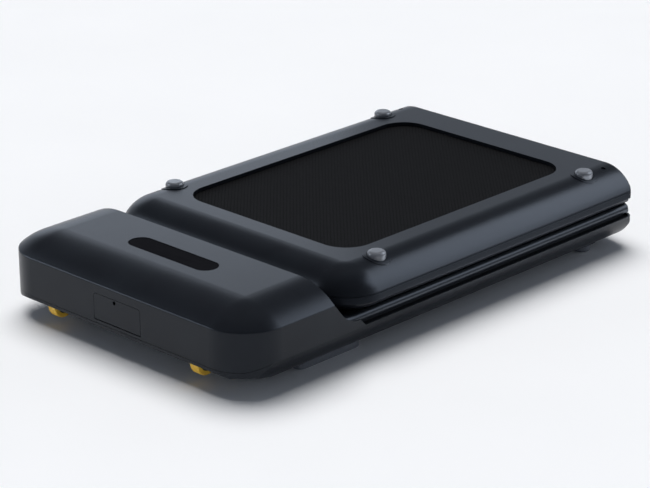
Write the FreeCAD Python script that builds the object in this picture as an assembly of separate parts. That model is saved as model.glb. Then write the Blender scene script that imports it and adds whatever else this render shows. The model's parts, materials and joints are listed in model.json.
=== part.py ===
import FreeCAD, Part
import math
import os

from FreeCAD import Vector

# A folding walking pad, folded shut: the motor half lies on the floor, the tail half upside down on it.
# X is the width, -Y the hood end, +Y the fold, +Z up and z = 0 the floor. All sizes are in millimetres.
# Most heights are depths below the fold plane, so that one function serves both halves.

# Overall sizes
width = 518.0
shell_length = 845.0
shell_lift = 7.0
belt_to_shell = 6.4
corner_extra = 11.0
wall = 3.0
end_gap = 2.0
end_edge = 6.0
end_corner = 20.0
running_fit = 0.05
surface_gap = 0.3

# Running belt, rollers and deck
belt_from_side = 59.0
belt_thickness = 1.8
belt_drop = 4.0
belt_bulge = 12.0
belt_bend = 18.0
belt_join = 12.0
roller_radius = 22.2
roller_tube_wall = 3.2
roller_overhang = 1.0
roller_behind_hood = 40.1
roller_from_tail = 48.0
axle_radius = 7.5
bearing_width = 12.0
deck_thickness = 12.0
deck_overhang = 4.0
deck_gap = 0.2
deck_to_roller = 7.0

# Motor hood
crown_drop = 26.5
crease_radius = 3.0
front_seam_height = 41.0
seam_drop_start = 57.0
seam_drop_end = 17.0
wing_length = 52.0
wing_tip = 11.5
wing_angle = 51.5
belt_slot_headroom = 2.0
belt_slot_margin = 5.0

# Front bow and belt window of the shells
bow_height = 36.0
bow_length = 52.0
bow_corner_height = 33.0
bow_corner_run = 69.0
window_from_side = 84.0
window_tail_side = 88.0
window_fold_side = 64.5
window_radius = 45.0
window_rim = 2.5
window_rim_gap = 0.7

# Rails and tail cover
tail_gap = 24.0
cover_gap = 0.5
rail_inset = 2.0
rail_from_side = 13.0
rail_round = 9.8
rail_undercut = 5.0
rail_ledge_depth = 18.0
rim_depth = 15.0
seam_gap = 0.5
side_groove_depth = 23.7
side_groove_width = 2.0
side_groove_inset = 1.2
rail_leg = 3.0
rail_leg_inset = 5.0
tail_cover_reach = 45.0
tail_cover_margin = 3.0

# Steel frames
beam_width = 22.0
beam_height = 25.0
beam_depth = 19.0
beam_wall = 2.0
beam_space = 10.0
beam_setback = 10.0
crossbar_width = 30.0
crossbar_height = 20.0
crossbar_inset = 30.0
front_beam_lead = 30.0
rear_beam_start = 9.0
cushion_length = 40.0
cushion_place = 130.0

# Fold hinges
knuckle_radius = 6.0
pin_radius = 3.0
outer_knuckle = 5.5
inner_knuckle = 6.4
knuckle_gap = 0.3
finger_lean = 0.5
finger_drop = 0.85
leaf_thickness = 6.0
leaf_length = 48.0
leaf_setback = 8.0
leaf_bolt_radius = 3.0
leaf_bolt_head = 5.0
leaf_bolt_head_height = 4.0
leaf_bolt_first = 12.0
leaf_bolt_second = 32.0
pocket_margin = 2.0
pocket_length = 18.0

# Display
display_length = 174.0
display_width = 38.5
display_recess = 0.6
display_flange = 3.0
display_flange_thickness = 1.5
display_from_front = 110.0
display_board_thickness = 1.6
display_block_height = 5.0
display_fit = 0.15

# Motor, drive and controller
motor_radius = 30.0
motor_length = 130.0
motor_wall = 4.0
motor_to_roller = 2.5
motor_above_roller = 19.4
motor_to_bracket = 3.0
motor_inboard = 11.0
shaft_radius = 5.0
armature_radius = 22.0
motor_pulley_radius = 9.0
roller_pulley_radius = 23.5
pulley_width = 7.0
drive_belt_thickness = 2.0
drive_belt_width = 5.5
saddle_width = 38.0
saddle_to_belt = 2.0
saddle_thickness = 8.0
saddle_inset = 22.0
saddle_base = 4.0
board_length = 160.0
board_width = 40.0
board_thickness = 2.0
board_from_side = 63.0
board_from_front = 61.5
standoff_height = 8.0
standoff_radius = 4.0
standoff_inset = 5.0
heat_sink_length = 60.0
heat_sink_height = 26.0
heat_sink_fins = 7
capacitor_radius = 9.0
capacitor_height = 22.0
capacitor_places = (0.62, 0.78, 0.92)

# Mains inlet, switch and flap
flap_width = 97.0
flap_above_seam = 5.0
flap_to_crease = 14.0
flap_height = 40.0
flap_thickness = 2.6
flap_gap = 0.6
flap_corner = 5.0
flap_barrel = 1.3
flap_pin_radius = 0.7
flap_pin_length = 7.0
finger_hole_x = -5.0
finger_hole_radius = 3.0
finger_hole_drop = 4.6
box_depth = 30.0
box_wall = 2.0
box_margin = 1.5
inlet_x = -17.0
inlet_width = 34.0
inlet_height = 26.0
inlet_flange = 2.0
inlet_socket_width = 25.0
inlet_socket_height = 17.0
inlet_socket_depth = 14.0
inlet_body_depth = 18.0
inlet_edge = 2.0
inlet_pin = 2.0
inlet_pin_length = 9.0
inlet_pin_spread = 7.0
switch_x = 26.0
switch_width = 18.0
switch_height = 26.0
switch_body_depth = 14.0
rocker_width = 11.0
rocker_height = 19.0
rocker_thickness = 6.0
rocker_stand = 2.5
rocker_dish = 1.0
rocker_taper = 2.8
rocker_tilt = 8.0
rocker_pin_radius = 1.5

# Transport wheels
wheel_from_side = 108.0
wheel_from_front = 24.0
wheel_height = 31.5
wheel_radius = 18.0
wheel_width = 17.0
wheel_hub_radius = 11.0
wheel_axle_radius = 4.0
wheel_side_gap = 1.5
wheel_clearance = 2.0
wheel_plate = 3.0
wheel_bridge_gap = 3.0
wheel_bracket_start = 10.0
wheel_bracket_end = 48.0
wheel_bridge_half = 12.0
wheel_bracket_shoulder = 14.0

# Feet, pads and screws
foot_from_side = 47.0
foot_from_fold = 72.0
foot_from_tail = 110.0
foot_radius = 14.0
foot_edge = 5.5
foot_ring_gap = 1.0
foot_ring_width = 5.5
foot_ring_rise = 1.2
pad_from_side = 49.0
pad_width = 24.0
pad_start = 142.0
pad_length = 126.0
pad_edge = 2.0
screw_from_side = 45.0
screw_from_fold = 26.5
screw_radius = 2.0
screw_head_radius = 3.8
screw_head_height = 3.0
screw_boss_radius = 5.0
screw_seat_depth = 52.0

# Tail roller tension
tension_bolt_radius = 2.5
tension_head_radius = 4.6
tension_head_height = 5.0
tension_bolt_reach = 12.0
tension_tab = 4.0
tension_tab_lead = 23.0
tension_plate = 2.2
tension_plate_reach = 40.0
tension_slot = 6.0
tension_side_gap = 1.5

# Places worked out from the sizes above
FRONT, REAR = "front", "rear"
half_width = width / 2
belt_half = half_width - belt_from_side
window_half = half_width - window_from_side
wheel_x = half_width - wheel_from_side
foot_x = half_width - foot_from_side
pad_x = half_width - pad_from_side
screw_x = half_width - screw_from_side
board_start = half_width - board_from_side - board_length
belt_wrap = roller_radius + surface_gap + belt_thickness
roller_depth = belt_drop + belt_wrap
return_depth = roller_depth + belt_wrap
section_radius = return_depth + belt_to_shell
fold_height = section_radius + shell_lift
floor_height = shell_lift
corner_radius = section_radius + corner_extra
corner_x = half_width - corner_radius
arc_x = half_width - section_radius
y_front = -(shell_length + end_gap + belt_bulge) / 2
y_end = y_front + shell_length
pivot_y = y_end + end_gap
motor_reach = motor_radius + motor_to_roller + belt_wrap
motor_y = y_front + wheel_bracket_end + motor_to_bracket + motor_radius
motor_z = fold_height - roller_depth + motor_above_roller
y_front_roller = motor_y + math.sqrt(motor_reach ** 2 - motor_above_roller ** 2)
y_hood = y_front_roller + roller_behind_hood
y_tail = y_hood + tail_gap
hood_corner_y = y_front + corner_radius
tail_corner_y = y_tail + corner_radius
y_rear_roller = y_tail + roller_from_tail
y_join = pivot_y - belt_join
deck_top = belt_drop + belt_thickness + deck_gap
deck_half = belt_half + deck_overhang
deck_reach = roller_radius + deck_to_roller
beam_inner = belt_half + beam_space
beam_outer = beam_inner + beam_width
beam_bottom = beam_depth + beam_height
rail_inner = belt_half + rail_inset
rail_edge = half_width - rail_from_side
ledge_bottom = rail_ledge_depth + wall
ledge_x = arc_x + math.sqrt((section_radius - wall) ** 2 - ledge_bottom ** 2) - surface_gap
seam_height = fold_height - rim_depth + seam_gap
y_window = y_tail + window_tail_side
y_window_end = y_end - window_fold_side
end_opening = (deck_half + beam_inner) / 2
roller_half = belt_half + roller_overhang
motor_start = -(roller_half - motor_inboard)
pulley_start = -(roller_half + pulley_width)
bow_slope = (bow_height - floor_height) / bow_length
bow_corner_slope = (bow_corner_height - floor_height) / bow_corner_run
flap_bottom = front_seam_height + flap_above_seam
crease_height = flap_bottom + flap_height + flap_to_crease
hood_height = crease_height + crown_drop
flap_axis_y = y_front + flap_thickness / 2
flap_axis_z = flap_bottom + flap_barrel
wheel_y = y_front + wheel_from_front
inlet_z = flap_bottom + flap_height / 2


def level(depth, half):
    """Height of a depth below the fold plane, counted up in the tail half because that lies upside down."""
    return fold_height + depth if half == REAR else fold_height - depth


def is_arc(step):
    return isinstance(step[0], tuple)


def placed(outline, place):
    """The same outline with every point of its lines and arcs moved by a rule."""
    return [tuple(place(*point) for point in step) if is_arc(step) else place(*step) for step in outline]


def face_of(outline, place):
    """A flat face from an outline; a pair of points in it is an arc past the first to the second."""
    edges = []
    here = place(*outline[0])
    for step in outline[1:] + [outline[0]]:
        target = place(*(step[1] if is_arc(step) else step))
        if target.distanceToPoint(here) < 1e-6:
            continue
        if is_arc(step):
            edges.append(Part.Arc(here, place(*step[0]), target).toShape())
        else:
            edges.append(Part.makeLine(here, target))
        here = target
    return Part.Face(Part.Wire(edges))


def prism_x(outline, x0, x1):
    return face_of(outline, lambda y, z: Vector(x0, y, z)).extrude(Vector(x1 - x0, 0, 0))


def prism_y(outline, y0, y1):
    return face_of(outline, lambda x, z: Vector(x, y0, z)).extrude(Vector(0, y1 - y0, 0))


def prism_z(outline, z0, z1):
    return face_of(outline, lambda x, y: Vector(x, y, z0)).extrude(Vector(0, 0, z1 - z0))


def box(x0, x1, y0, y1, z0, z1):
    low = Vector(min(x0, x1), min(y0, y1), min(z0, z1))
    return Part.makeBox(abs(x1 - x0), abs(y1 - y0), abs(z1 - z0), low)


def slab(x0, x1, y0, y1, depth0, depth1, half):
    return box(x0, x1, y0, y1, level(depth0, half), level(depth1, half))


def rod_x(radius, x0, x1, y, z):
    return Part.makeCylinder(radius, x1 - x0, Vector(x0, y, z), Vector(1, 0, 0))


def rod_y(radius, y0, y1, x, z):
    return Part.makeCylinder(radius, y1 - y0, Vector(x, y0, z), Vector(0, 1, 0))


def post(radius, x, y, depth0, depth1, half):
    low = min(level(depth0, half), level(depth1, half))
    return Part.makeCylinder(radius, abs(depth1 - depth0), Vector(x, y, low))


def corner_arc(x, y, radius, start):
    """Middle and end of a quarter turn that starts at the given angle round a centre."""
    middle, end = math.radians(start + 45), math.radians(start + 90)
    return ((x + radius * math.cos(middle), y + radius * math.sin(middle)),
            (x + radius * math.cos(end), y + radius * math.sin(end)))


def rounded(x0, x1, y0, y1, radius):
    return [(x0 + radius, y0), (x1 - radius, y0), corner_arc(x1 - radius, y0 + radius, radius, -90),
            (x1, y1 - radius), corner_arc(x1 - radius, y1 - radius, radius, 0),
            (x0 + radius, y1), corner_arc(x0 + radius, y1 - radius, radius, 90),
            (x0, y0 + radius), corner_arc(x0 + radius, y0 + radius, radius, 180)]


def stadium(x, y, length, breadth):
    """A slot outline with round ends, longer along X or along Y."""
    radius = min(length, breadth) / 2
    dx, dy = length / 2 - radius, breadth / 2 - radius
    if length > breadth:
        return [(x - dx, y - radius), (x + dx, y - radius), ((x + dx + radius, y), (x + dx, y + radius)),
                (x - dx, y + radius), ((x - dx - radius, y), (x - dx, y - radius))]
    return [(x + radius, y - dy), (x + radius, y + dy), ((x, y + dy + radius), (x - radius, y + dy)),
            (x - radius, y - dy), ((x, y - dy - radius), (x + radius, y - dy))]


def fuse(shapes):
    return shapes[0].multiFuse(shapes[1:]).removeSplitter()


def both_sides(make):
    return [make(-1), make(1)]


def rounded_end(profile, corner_y, far_y):
    """Sweep a profile of (distance past the corner centre, height) round the -Y end and along both sides."""
    heights = [step[1] for step in profile if not is_arc(step) and step[0] == 0]
    heights += [step[1][1] for step in profile if is_arc(step) and step[1][0] == 0]
    end_face = face_of(profile, lambda r, z: Vector(-corner_x, corner_y - r, z))
    shapes = [box(-corner_x, corner_x, corner_y, far_y, min(heights), max(heights)),
              end_face.extrude(Vector(2 * corner_x, 0, 0))]
    for side in (-1, 1):
        section = face_of(profile, lambda r, z: Vector(side * (corner_x + r), corner_y, z))
        shapes.append(section.extrude(Vector(0, far_y - corner_y, 0)))
        centre = Vector(side * corner_x, corner_y, 0)
        shapes.append(section.revolve(centre, Vector(0, 0, 1), -90 * side))
    return fuse(shapes)


def tail_form(inset, far_y):
    """The rounded outer form of the tail half, or that form shrunk by a wall."""
    radius = section_radius - inset
    start = corner_radius - section_radius
    middle = radius * math.sqrt(0.5)
    outline = [(0, 0), (start + radius, 0), ((start + middle, middle), (start, radius)), (0, radius)]
    profile = placed(outline, lambda reach, depth: (reach, level(depth, REAR)))
    return rounded_end(profile, tail_corner_y, far_y)


def bow_line(y, inset):
    """Height of the sloping underside behind the front wall, raised by a wall thickness square to it."""
    return bow_height - bow_slope * (y - y_front) + inset * math.hypot(1, bow_slope)


def corner_slope(side, inset):
    """What is taken off under a front corner, below a plane that rises outwards across the corner."""
    slant = math.sqrt(0.5)
    rim = Vector(side * (corner_x + corner_radius * slant), hood_corner_y - corner_radius * slant, 0)
    inward = Vector(-side * slant, slant, 0)
    across = Vector(slant, side * slant, 0)
    top = bow_corner_height + inset * math.hypot(1, bow_corner_slope)
    fall = bow_corner_slope * width
    outline = [(-width, top + fall), (width, top - fall), (width, -width), (-width, -width)]
    place = rim - across * width
    wedge = face_of(outline, lambda run, z: place + inward * run + Vector(0, 0, z))
    return wedge.extrude(across * (2 * width))


def base_form(inset, far_y):
    """The form of the motor half's lower tray, or that form shrunk by a wall."""
    radius = section_radius - inset
    middle = radius * math.sqrt(0.5)
    low = fold_height - radius
    section = [(-arc_x - radius, fold_height), ((-arc_x - middle, fold_height - middle), (-arc_x, low)),
               (arc_x, low), ((arc_x + middle, fold_height - middle), (arc_x + radius, fold_height))]
    flat_y = y_front + (bow_line(y_front, inset) - low) / bow_slope
    front_y = y_front + inset
    side = [(front_y, fold_height), (front_y, bow_line(front_y, inset)), (flat_y, low), (far_y, low),
            (far_y, fold_height)]
    edge, corner = half_width - inset, corner_radius - inset
    plan = [(-edge, far_y), (-edge, hood_corner_y), corner_arc(-corner_x, hood_corner_y, corner, 180),
            (corner_x, front_y), corner_arc(corner_x, hood_corner_y, corner, 270), (edge, far_y)]
    form = prism_y(section, y_front, far_y).common(prism_x(side, -half_width, half_width))
    form = form.common(prism_z(plan, 0, fold_height))
    return form.cut(corner_slope(-1, inset)).cut(corner_slope(1, inset))


def end_plan(inset):
    """Everything inside the plan of the fold end, whose two corners are rounded."""
    edge, far_y, corner = half_width - inset, y_end - inset, end_corner - inset
    start = y_front - wall
    outline = [(-edge, start), (edge, start), (edge, far_y - corner),
               corner_arc(edge - corner, far_y - corner, corner, 0), (corner - edge, far_y),
               corner_arc(corner - edge, far_y - corner, corner, 90)]
    return prism_z(outline, -wall, 2 * fold_height + wall)


def round_far_edge(form):
    """Round the outer edge of the flat end at the fold, and that end's corners in plan."""
    rim = [edge for edge in form.Edges
           if edge.BoundBox.YMin > y_end - wall and abs(edge.CenterOfMass.z - fold_height) > wall]
    return form.makeFillet(end_edge, rim).common(end_plan(0))


def below_seam(drop):
    """Everything under the line where the hood and rails end, or under that line less a groove."""
    high, low = seam_height - drop, front_seam_height - drop
    outline = [(y_front - wall, -fold_height), (y_end + wall, -fold_height), (y_end + wall, high),
               (y_front + seam_drop_start, high), (y_front + seam_drop_end, low), (y_front - wall, low)]
    return prism_x(outline, -width, width)


def window_cut(inset, depth0, depth1, half):
    outline = rounded(-window_half - inset, window_half + inset, y_window - inset, y_window_end + inset,
                      window_radius + inset)
    z0, z1 = sorted((level(depth0, half), level(depth1, half)))
    return prism_z(outline, z0, z1)


def half_form(inset, half):
    return base_form(inset, y_end) if half == FRONT else tail_form(inset, y_end)


def foot_ring(x, y, half):
    """The raised ring of a shell round a foot, which follows the shell's curve."""
    inner = foot_radius + foot_ring_gap
    ring = post(inner + foot_ring_width, x, y, beam_bottom, fold_height, half)
    ring = ring.cut(post(inner, x, y, beam_bottom, fold_height, half))
    return ring.common(half_form(-foot_ring_rise, half))


def feet_places(half):
    places = [y_end - foot_from_fold]
    if half == REAR:
        places.append(y_tail + foot_from_tail)
    return [(side * foot_x, y) for side in (-1, 1) for y in places]


def screw_places():
    return [(side * screw_x, y_end - screw_from_fold) for side in (-1, 1)]


def finish_shell(shell, outer, inner, half):
    """Add window rim, foot rings and screw bosses to a shell, then open its window, end and holes."""
    rim = window_cut(window_rim, return_depth + window_rim_gap, section_radius, half)
    extras = [rim]
    for x, y in screw_places():
        extras.append(post(screw_boss_radius, x, y, beam_bottom, section_radius, half).common(outer))
    shell = fuse([shell] + extras)
    for x, y in feet_places(half):
        shell = shell.fuse(foot_ring(x, y, half).cut(inner))
    shell = shell.removeSplitter()
    shell = shell.cut(window_cut(0, return_depth, section_radius + wall, half))
    shell = shell.cut(slab(-end_opening, end_opening, y_end - 2 * wall, y_end + wall, 0,
                           section_radius - wall, half))
    for x, y in screw_places():
        shell = shell.cut(post(screw_radius + running_fit, x, y, 0, fold_height, half))
        shell = shell.cut(post(screw_head_radius + running_fit, x, y, screw_seat_depth, fold_height, half))
    return shell


def make_front_shell():
    outer = round_far_edge(base_form(0, y_end))
    inner = base_form(wall, y_end - wall).common(end_plan(wall))
    shell = outer.cut(inner).common(below_seam(seam_gap))
    for x in (board_start + standoff_inset, board_start + board_length - standoff_inset):
        for y in (standoff_inset, board_width - standoff_inset):
            foot = Vector(x, y_front + board_from_front + y, floor_height + wall / 2)
            shell = shell.fuse(Part.makeCylinder(standoff_radius, standoff_height + wall / 2, foot))
    shell = finish_shell(shell, outer, inner, FRONT)
    reach = wheel_radius + wheel_clearance
    for side in (-1, 1):
        half_well = wheel_width / 2 + wheel_side_gap
        shell = shell.cut(box(side * wheel_x - half_well, side * wheel_x + half_well, wheel_y - reach,
                              wheel_y + reach, 0, fold_height))
    return shell


def make_rear_shell():
    outer = round_far_edge(tail_form(0, y_end))
    inner = tail_form(wall, y_end - wall).common(end_plan(wall))
    shell = outer.cut(inner)
    shell = shell.cut(slab(-width, width, y_tail - wall, y_end + wall, -wall, rim_depth, REAR))
    groove = tail_form(-wall, y_end).cut(tail_form(side_groove_inset, y_end))
    groove = groove.common(slab(-width, width, y_tail - width, y_end, side_groove_depth,
                                side_groove_depth + side_groove_width, REAR))
    shell = shell.cut(groove)
    return finish_shell(shell, outer, inner, REAR)


def crown_form(inset, far_y):
    """The hood: a vertical wall up to the crease and a wide crown above it."""
    radius = (corner_radius ** 2 + crown_drop ** 2) / (2 * crown_drop)
    centre = hood_height - radius
    reach, arc = corner_radius - inset, radius - inset
    edge = crease_radius if inset == 0 else crease_radius / 2
    edge_r = reach - edge
    turn = math.asin(edge_r / (arc - edge))
    edge_z = centre + (arc - edge) * math.cos(turn)
    tilt = (math.pi / 2 + turn) / 2
    low = front_seam_height - wall
    profile = [(0, low), (reach, low), (reach, edge_z),
               ((edge_r + edge * math.sin(tilt), edge_z + edge * math.cos(tilt)),
                (arc * math.sin(turn), centre + arc * math.cos(turn))),
               ((arc * math.sin(turn / 2), centre + arc * math.cos(turn / 2)), (0, hood_height - inset))]
    return rounded_end(profile, hood_corner_y, far_y)


def hood_wing(side):
    """The wall behind the hood that sweeps down to the rail."""
    end_y, end_z = y_hood + wing_length, seam_height + wing_tip
    turn = math.radians(wing_angle)
    run = wing_length - (crease_height - end_z) / math.tan(turn)
    radius = run / math.tan(turn / 2)
    middle = (end_y - radius * math.sin(turn / 2), end_z + radius * (1 - math.cos(turn / 2)))
    bend = (end_y - radius * math.sin(turn), end_z + radius * (1 - math.cos(turn)))
    root_y = y_hood - wall
    outline = [(root_y, seam_height), (end_y + wing_tip, seam_height), (end_y, end_z), (middle, bend),
               (y_hood, crease_height), (root_y, crease_height)]
    x0, x1 = sorted((side * (half_width - wall), side * half_width))
    return prism_x(outline, x0, x1)


def display_outline(grow):
    return stadium(0, y_front + display_from_front, display_length + 2 * grow, display_width + 2 * grow)


def make_hood():
    hood = crown_form(0, y_hood).cut(crown_form(wall, y_hood - wall))
    hood = fuse([hood] + both_sides(hood_wing)).cut(below_seam(0))
    slot = belt_half + belt_slot_margin
    hood = hood.cut(box(-slot, slot, y_hood - 2 * wall, y_hood + wall, 0, fold_height + belt_slot_headroom))
    hood = hood.cut(prism_z(display_outline(0), hood_height - 2 * wall, hood_height + wall))
    doorway = flap_outline(flap_bottom - flap_gap, flap_gap)
    hood = hood.cut(prism_y(doorway, y_front - wall, y_front + 2 * wall))
    for side in (-1, 1):
        hood = hood.cut(flap_pin(side, flap_pin_radius))
    return hood


def flap_outline(low, grow):
    """The flap as (x, z) from a given height up, with its upper corners rounded, grown by a gap."""
    edge, top, corner = flap_width / 2 + grow, flap_bottom + flap_height + grow, flap_corner + grow
    bend_x, bend_z = edge - corner, top - corner
    return [(-edge, low), (edge, low), (edge, bend_z), corner_arc(bend_x, bend_z, corner, 0), (-bend_x, top),
            corner_arc(-bend_x, bend_z, corner, 90)]


def flap_pin(side, radius):
    x, reach = side * flap_width / 2, flap_pin_length / 2
    return rod_x(radius, x - reach, x + reach, flap_axis_y, flap_axis_z)


def make_flap():
    half_flap = flap_width / 2
    flap = prism_y(flap_outline(flap_axis_z, 0), y_front, y_front + flap_thickness)
    flap = fuse([flap, rod_x(flap_barrel, -half_flap, half_flap, flap_axis_y, flap_axis_z)])
    hole_z = flap_bottom + flap_height - finger_hole_drop
    flap = flap.cut(rod_y(finger_hole_radius, y_front - wall, y_front + wall, finger_hole_x, hole_z))
    for side in (-1, 1):
        flap = flap.cut(flap_pin(side, flap_pin_radius + running_fit))
    return flap


def make_inlet_box():
    half_box = flap_width / 2 + flap_gap + box_margin
    low, high = flap_bottom - box_margin - flap_gap, flap_bottom + flap_height + flap_gap + box_margin
    y0, y1 = y_front + wall, y_front + wall + box_depth
    shape = box(-half_box - box_wall, half_box + box_wall, y0, y1, low - box_wall, high + box_wall)
    shape = shape.cut(box(-half_box, half_box, y0 - wall, y1 - box_wall, low, high))
    for x, w, h in ((inlet_x, inlet_width, inlet_height), (switch_x, switch_width, switch_height)):
        hole_w, hole_h = w / 2 - inlet_edge, h / 2 - inlet_edge
        shape = shape.cut(box(x - hole_w, x + hole_w, y0, y1 + wall, inlet_z - hole_h, inlet_z + hole_h))
    return shape


def panel_part(x, w, h, body_depth):
    """A panel-mounted body with its flange on the back wall of the inlet box."""
    seat = y_front + wall + box_depth - box_wall
    body_w, body_h = w / 2 - inlet_edge, h / 2 - inlet_edge
    flange = box(x - w / 2, x + w / 2, seat - inlet_flange, seat, inlet_z - h / 2, inlet_z + h / 2)
    body = box(x - body_w, x + body_w, seat, seat + body_depth, inlet_z - body_h, inlet_z + body_h)
    return fuse([flange, body]), seat


def make_inlet():
    shape, seat = panel_part(inlet_x, inlet_width, inlet_height, inlet_body_depth)
    half_w, half_h = inlet_socket_width / 2, inlet_socket_height / 2
    floor_y = seat - inlet_flange + inlet_socket_depth
    shape = shape.cut(box(inlet_x - half_w, inlet_x + half_w, seat - inlet_flange - wall, floor_y,
                          inlet_z - half_h, inlet_z + half_h))
    blades = []
    for across, up in ((-1, -1), (0, 1), (1, -1)):
        x = inlet_x + across * inlet_pin_spread
        z = inlet_z + up * inlet_pin
        blades.append(box(x - inlet_pin / 2, x + inlet_pin / 2, floor_y - inlet_pin_length, floor_y,
                          z - inlet_pin, z + inlet_pin))
    return shape, Part.makeCompound(blades)


def rocker_axis():
    seat = y_front + wall + box_depth - box_wall
    return seat - inlet_flange + rocker_thickness / 2 - rocker_stand


def make_switch_housing():
    shape, seat = panel_part(switch_x, switch_width, switch_height, switch_body_depth)
    half_w, half_h = rocker_width / 2 + surface_gap, rocker_height / 2 + 2 * surface_gap
    shape = shape.cut(box(switch_x - half_w, switch_x + half_w, seat - 2 * wall,
                          seat + switch_body_depth - inlet_edge, inlet_z - half_h, inlet_z + half_h))
    pivot = rod_x(rocker_pin_radius, switch_x - half_w, switch_x + half_w, rocker_axis(), inlet_z)
    return fuse([shape, pivot])


def make_rocker():
    y = rocker_axis()
    half_h, half_t = rocker_height / 2, rocker_thickness / 2
    inner_h = half_h - rocker_taper
    outline = [(y - half_t, inlet_z - half_h), (y + half_t, inlet_z - inner_h),
               (y + half_t, inlet_z + inner_h), (y - half_t, inlet_z + half_h),
               (y - half_t + rocker_dish, inlet_z)]
    x0, x1 = switch_x - rocker_width / 2, switch_x + rocker_width / 2
    rocker = prism_x(outline, x0, x1).cut(rod_x(rocker_pin_radius + running_fit, x0, x1, y, inlet_z))
    rocker.rotate(Vector(switch_x, y, inlet_z), Vector(1, 0, 0), -rocker_tilt)
    return rocker


def rail_profile():
    """Section of a side rail as (x, depth): flat, rounded over to its edge, with a ledge set in under it."""
    bend = rail_edge - rail_round
    lean = rail_round * math.sqrt(0.5)
    edge_depth = cover_gap + rail_round
    under = edge_depth + wall
    step = rail_edge - rail_undercut
    web = step - wall
    return [(rail_inner, cover_gap), (bend, cover_gap),
            ((bend + lean, edge_depth - lean), (rail_edge, edge_depth)), (rail_edge, under), (step, under),
            (step, rail_ledge_depth), (ledge_x, rail_ledge_depth), (ledge_x, ledge_bottom),
            (web, ledge_bottom), (web, cover_gap + wall), (rail_inner, cover_gap + wall)]


def make_rail(side, start_y, half):
    outline = placed(rail_profile(), lambda x, depth: (side * x, level(depth, half)))
    form = prism_y(outline, start_y, y_end)
    below_rim = slab(-width, width, start_y - wall, y_end + wall, rim_depth - seam_gap, beam_bottom, half)
    rail = fuse([form.cut(below_rim).common(end_plan(0)),
                 form.common(below_rim).common(end_plan(wall + surface_gap))])
    leg_x = beam_inner + rail_leg_inset
    leg_end = y_end - leaf_setback - leaf_length - pocket_margin
    leg = slab(side * leg_x, side * (leg_x + rail_leg), start_y + 2 * wing_length, leg_end, cover_gap + wall,
               beam_depth, half)
    rail = fuse([rail, leg])
    pocket_outer = beam_inner + hinge_width() + pocket_margin
    pocket = slab(side * (beam_inner - pocket_margin), side * pocket_outer, y_end - pocket_length,
                  y_end + wall, -wall, rim_depth, half)
    return rail.cut(pocket)


def make_tail_cover():
    outline = [(corner_x, cover_gap)] + rail_profile()[1:-1] + [(corner_x, cover_gap + wall)]
    profile = placed(outline, lambda x, depth: (x - corner_x, level(depth, REAR)))
    cover = rounded_end(profile, tail_corner_y, tail_corner_y + wall)
    keep = slab(-width, width, y_tail - wall, tail_corner_y, -wall, beam_bottom, REAR)
    cover = cover.common(keep)
    open_x = belt_half + tail_cover_margin
    return cover.cut(slab(-open_x, open_x, y_tail + tail_cover_reach, y_end, -wall, beam_bottom, REAR))


def crossbar_places(half):
    start = (y_front_roller if half == FRONT else y_rear_roller) + deck_reach + crossbar_inset
    end = y_end - beam_setback - crossbar_inset
    return [start, (start + end) / 2, end]


def tube_y(x0, x1, y0, y1, half):
    outer = slab(x0, x1, y0, y1, beam_depth, beam_bottom, half)
    return outer.cut(slab(x0 + beam_wall, x1 - beam_wall, y0 - wall, y1 + wall, beam_depth + beam_wall,
                          beam_bottom - beam_wall, half))


def make_frame(half):
    """Two side tubes joined by three cross tubes, welded into one piece."""
    start = y_front_roller - front_beam_lead if half == FRONT else y_rear_roller + rear_beam_start
    end = y_end - beam_setback
    top = beam_bottom - crossbar_height
    shapes = [tube_y(-beam_outer, -beam_inner, start, end, half),
              tube_y(beam_inner, beam_outer, start, end, half)]
    for y in crossbar_places(half):
        y0, y1 = y - crossbar_width / 2, y + crossbar_width / 2
        bar = slab(-beam_inner, beam_inner, y0, y1, top, beam_bottom, half)
        shapes.append(bar.cut(slab(-beam_inner, beam_inner, y0 + beam_wall, y1 - beam_wall, top + beam_wall,
                                   beam_bottom - beam_wall, half)))
    frame = fuse(shapes)
    for side in (-1, 1):
        for x, y in leaf_bolt_centres(side):
            frame = frame.cut(post(leaf_bolt_radius + running_fit, x, y, beam_depth - wall,
                                   beam_depth + 2 * beam_wall, half))
        for x, y in screw_places():
            frame = frame.cut(post(screw_radius + running_fit, x, y, beam_bottom - 2 * beam_wall,
                                   beam_bottom + wall, half))
    if half == FRONT:
        hole = beam_inner + 2 * beam_wall
        z = level(roller_depth, half)
        frame = frame.cut(rod_x(axle_radius + running_fit, -hole, hole, y_front_roller, z))
    return frame


def make_deck(half):
    start = (y_front_roller if half == FRONT else y_rear_roller) + deck_reach
    return slab(-deck_half, deck_half, start, y_end, deck_top, deck_top + deck_thickness, half)


def make_cushions(half):
    top = deck_top + deck_thickness
    low = beam_bottom - crossbar_height
    pads = []
    for y in crossbar_places(half):
        for side in (-1, 1):
            x = side * cushion_place
            block = slab(x - cushion_length / 2, x + cushion_length / 2, y - crossbar_width / 2,
                         y + crossbar_width / 2, top, low, half)
            pads.append(block)
    return Part.makeCompound(pads)


def hinge_width():
    return 2 * outer_knuckle + inner_knuckle + 2 * knuckle_gap


def leaf_bolt_centres(side):
    x = side * (beam_inner + hinge_width() / 2)
    start = y_end - leaf_setback - leaf_length
    return [(x, start + place) for place in (leaf_bolt_first, leaf_bolt_second)]


def knuckle_spans(half):
    if half == REAR:
        start = beam_inner + outer_knuckle + knuckle_gap
        return [(start, start + inner_knuckle)]
    return [(beam_inner, beam_inner + outer_knuckle),
            (beam_inner + hinge_width() - outer_knuckle, beam_inner + hinge_width())]


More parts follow.
